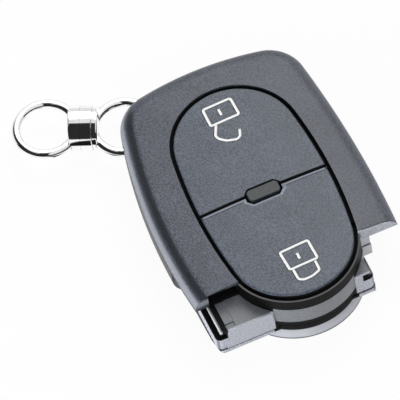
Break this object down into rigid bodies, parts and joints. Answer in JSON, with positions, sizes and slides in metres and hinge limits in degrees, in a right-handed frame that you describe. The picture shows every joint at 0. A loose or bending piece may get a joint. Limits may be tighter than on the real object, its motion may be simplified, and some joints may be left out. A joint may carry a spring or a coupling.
{
  "type": "key fob shell",
  "caption": "Car remote shell with crowned cover, unlock and lock buttons in an oval well, window bar, slide grooves for a blade head and a double ring swivel at a corner.",
  "frame": {"origin": "on the flat back of the rear cover, under the middle of the button oval", "axes": "+X to the right across the button face, +Y from the blade-head end to the rounded end, +Z out of the button face"},
  "size_m": [0.05, 0.0613, 0.0117],
  "materials": {
    "cover_plastic": "fine textured dark grey",
    "button_plastic": "fine textured grey",
    "frame_plastic": "smooth satin grey",
    "window_plastic": "smoked clear",
    "mat_rubber": "black",
    "ring_chrome": "bright plated",
    "steel": "plain",
    "contact_brass": "plain spring strip",
    "board_laminate": "green lacquered laminate",
    "chip_black": "black moulded",
    "lamp_white": "clear white",
    "coil_copper": "lacquered wire on a dark core"
  },
  "bodies": {
    "shell": {"top_cover": "cover_plastic", "centre_frame": "frame_plastic", "rear_cover": "cover_plastic", "keypad_mat": "mat_rubber", "led_window": "window_plastic", "circuit_board": "board_laminate", "coin_cell": "steel", "cell_contact_top": "contact_brass", "cell_contact_side": "contact_brass", "unlock_switch": "steel", "lock_switch": "steel", "indicator_led": "lamp_white", "control_chip": "chip_black", "resonator_can": "steel", "antenna_coil": "coil_copper", "ring_pin": "steel"},
    "unlock_button": {"unlock_button": "button_plastic", "unlock_plunger": "chip_black"},
    "lock_button": {"lock_button": "button_plastic", "lock_plunger": "chip_black"},
    "inner_ring": {"inner_ring": "ring_chrome"},
    "swivel_head_inner": {"swivel_head_inner": "ring_chrome"},
    "swivel_sleeve": {"swivel_sleeve": "ring_chrome"},
    "swivel_head_outer": {"swivel_head_outer": "ring_chrome"},
    "outer_ring": {"outer_ring": "ring_chrome"}
  },
  "joints": [
    {"name": "unlock_press", "type": "slide", "parent": "shell", "child": "unlock_button", "axis": [0, 0, -1], "range_m": [0, 0.0004], "stiffness_N_per_m": 5000, "deforming": ["keypad_mat"]},
    {"name": "lock_press", "type": "slide", "parent": "shell", "child": "lock_button", "axis": [0, 0, -1], "range_m": [0, 0.0004], "stiffness_N_per_m": 5000, "deforming": ["keypad_mat"]},
    {"name": "ring_swing", "type": "hinge", "parent": "shell", "child": "inner_ring", "pos_m": [-0.01246, 0.02471, 0.00395], "axis": [0, 0, 1], "range_deg": [-20, 20]},
    {"name": "swivel_slide", "type": "hinge", "parent": "inner_ring", "child": "swivel_head_inner", "pos_m": [-0.01426, 0.02711, 0.00395], "axis": [0, 0, 1], "range_deg": [-35, 15]},
    {"name": "sleeve_turn", "type": "hinge", "parent": "swivel_head_inner", "child": "swivel_sleeve", "pos_m": [-0.02016, 0.02991, 0.00395], "axis": [-0.9037, 0.4281, 0], "continuous": true},
    {"name": "outer_head_turn", "type": "hinge", "parent": "swivel_sleeve", "child": "swivel_head_outer", "pos_m": [-0.02016, 0.02991, 0.00395], "axis": [-0.9037, 0.4281, 0], "continuous": true},
    {"name": "outer_ring_turn", "type": "hinge", "parent": "swivel_head_outer", "child": "outer_ring", "pos_m": [-0.02606, 0.0327, 0.00395], "axis": [0, 0, 1], "continuous": true}
  ]
}
